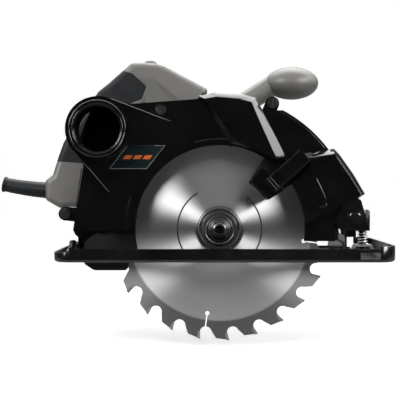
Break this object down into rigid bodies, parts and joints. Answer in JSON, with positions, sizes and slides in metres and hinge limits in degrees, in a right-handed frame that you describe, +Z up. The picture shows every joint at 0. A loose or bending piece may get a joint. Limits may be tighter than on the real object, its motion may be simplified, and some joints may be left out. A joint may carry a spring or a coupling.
{
  "type": "circular saw",
  "caption": "Hand-held circular saw with exposed toothed blade, retracted lower guard, dust port cover, two handles, motor and a base plate with bevel and depth hinges.",
  "frame": {"origin": "on the sole of the base plate, in the blade's plane, straight below the arbor", "axes": "+X forward in the cutting direction, +Y from the blade towards the motor, +Z up from the sole"},
  "size_m": [0.3331, 0.185, 0.2372],
  "materials": {
    "black_steel": "satin",
    "black_cast": "gloss",
    "black_plastic": "gloss",
    "grey_plastic": "satin",
    "soft_rubber": "matte",
    "blade_steel": "brushed",
    "carbide": "ground",
    "dark_steel": "black oxide",
    "zinc_steel": "zinc",
    "cast_aluminium": "cast",
    "copper": "enamelled",
    "laminated_iron": "varnished",
    "carbon": "matte",
    "emblem": "printed"
  },
  "bodies": {
    "base": {"base_plate": "black_steel", "front_quadrant": "black_steel", "rear_bracket": "black_steel", "fence_bridge": "zinc_steel", "base_rivets": "zinc_steel", "fence_clamp_spring": "zinc_steel", "bevel_pins": "zinc_steel"},
    "fence_screw": {"fence_clamp_screw": "dark_steel"},
    "tilt_frame": {"front_tilt_bracket": "black_steel", "depth_arm": "black_steel", "bevel_clamp_bolt": "zinc_steel"},
    "bevel_knob": {"bevel_clamp_knob": "black_plastic"},
    "blade_group": {"saw_blade": "blade_steel", "carbide_tips": "carbide", "outer_flange": "dark_steel", "blade_bolt": "dark_steel", "inner_flange": "dark_steel", "spindle": "zinc_steel", "drive_gear": "dark_steel"},
    "armature": {"armature_shaft": "zinc_steel", "armature_core": "laminated_iron", "armature_windings": "copper", "commutator": "copper", "motor_fan": "black_plastic"},
    "lower_guard_group": {"lower_guard": "black_cast", "guard_lever": "black_plastic"},
    "trigger_group": {"trigger": "black_plastic"},
    "lock_off": {"lock_off_button": "grey_plastic"},
    "spindle_lock": {"spindle_lock_button": "black_plastic"},
    "depth_clamp": {"depth_lever": "black_steel"},
    "saw_body": {"depth_pivot_pin": "zinc_steel", "ball_bearings": "zinc_steel", "stator": "laminated_iron", "field_coils": "copper", "brush_holders": "copper", "carbon_brushes": "carbon", "brush_caps": "black_plastic", "guard_housing": "black_cast", "side_cover": "black_plastic", "badge_plate": "emblem", "dust_port_ring": "black_plastic", "cover_screws": "dark_steel", "guard_spring": "zinc_steel", "retaining_rings": "dark_steel", "gear_case": "cast_aluminium", "case_screws": "zinc_steel", "motor_housing": "grey_plastic", "end_cap": "grey_plastic", "housing_screws": "dark_steel", "handle_near": "grey_plastic", "handle_far": "grey_plastic", "handle_screws": "dark_steel", "soft_grips": "soft_rubber", "button_springs": "zinc_steel", "power_switch": "black_plastic", "cord_sleeve": "soft_rubber", "front_handle": "grey_plastic", "depth_bolt": "zinc_steel", "cord_clamp": "black_plastic", "front_handle_bolt": "zinc_steel"}
  },
  "joints": [
    {"name": "bevel_tilt", "type": "hinge", "parent": "base", "child": "tilt_frame", "pos_m": [0, -0.01, 0.008], "axis": [1, 0, 0], "range_deg": [0, 45]},
    {"name": "depth_swing", "type": "hinge", "parent": "tilt_frame", "child": "saw_body", "pos_m": [0.11, 0, 0.036], "axis": [0, 1, 0], "range_deg": [0, 31]},
    {"name": "blade_spin", "type": "hinge", "parent": "saw_body", "child": "blade_group", "pos_m": [0, 0, 0.026], "axis": [0, -1, 0], "continuous": true},
    {"name": "armature_spin", "type": "hinge", "parent": "saw_body", "child": "armature", "pos_m": [-0.00769, 0, 0.04714], "axis": [0, -1, 0], "continuous": true},
    {"name": "lower_guard_swing", "type": "hinge", "parent": "saw_body", "child": "lower_guard_group", "pos_m": [0, 0, 0.026], "axis": [0, -1, 0], "range_deg": [0, 139]},
    {"name": "trigger_press", "type": "slide", "parent": "saw_body", "child": "trigger_group", "axis": [-0.7915, 0, 0.6112], "range_m": [0, 0.0055], "stiffness_N_per_m": 600, "springref_m": -0.003, "deforming": ["button_springs"]},
    {"name": "lock_off_press", "type": "slide", "parent": "saw_body", "child": "lock_off", "axis": [0, 0, -1], "range_m": [0, 0.0035], "stiffness_N_per_m": 500, "springref_m": -0.003, "deforming": ["button_springs"]},
    {"name": "spindle_lock_press", "type": "slide", "parent": "saw_body", "child": "spindle_lock", "axis": [-1, 0, 0], "range_m": [0, 0.0035], "stiffness_N_per_m": 500, "springref_m": -0.003, "deforming": ["button_springs"]},
    {"name": "depth_clamp_turn", "type": "hinge", "parent": "saw_body", "child": "depth_clamp", "pos_m": [-0.07896, 0, 0.01614], "axis": [0, 1, 0], "range_deg": [0, 70]},
    {"name": "bevel_knob_turn", "type": "hinge", "parent": "tilt_frame", "child": "bevel_knob", "pos_m": [0, 0.05981, 0.02934], "axis": [1, 0, 0], "range_deg": [0, 360]},
    {"name": "fence_screw_turn", "type": "hinge", "parent": "base", "child": "fence_screw", "pos_m": [0.121, 0.015, 0], "axis": [0, 0, 1], "range_deg": [-720, 0]}
  ],
  "couplings": [
    {"joint": "armature_spin", "follows": "blade_spin", "ratio": -5.25}
  ]
}
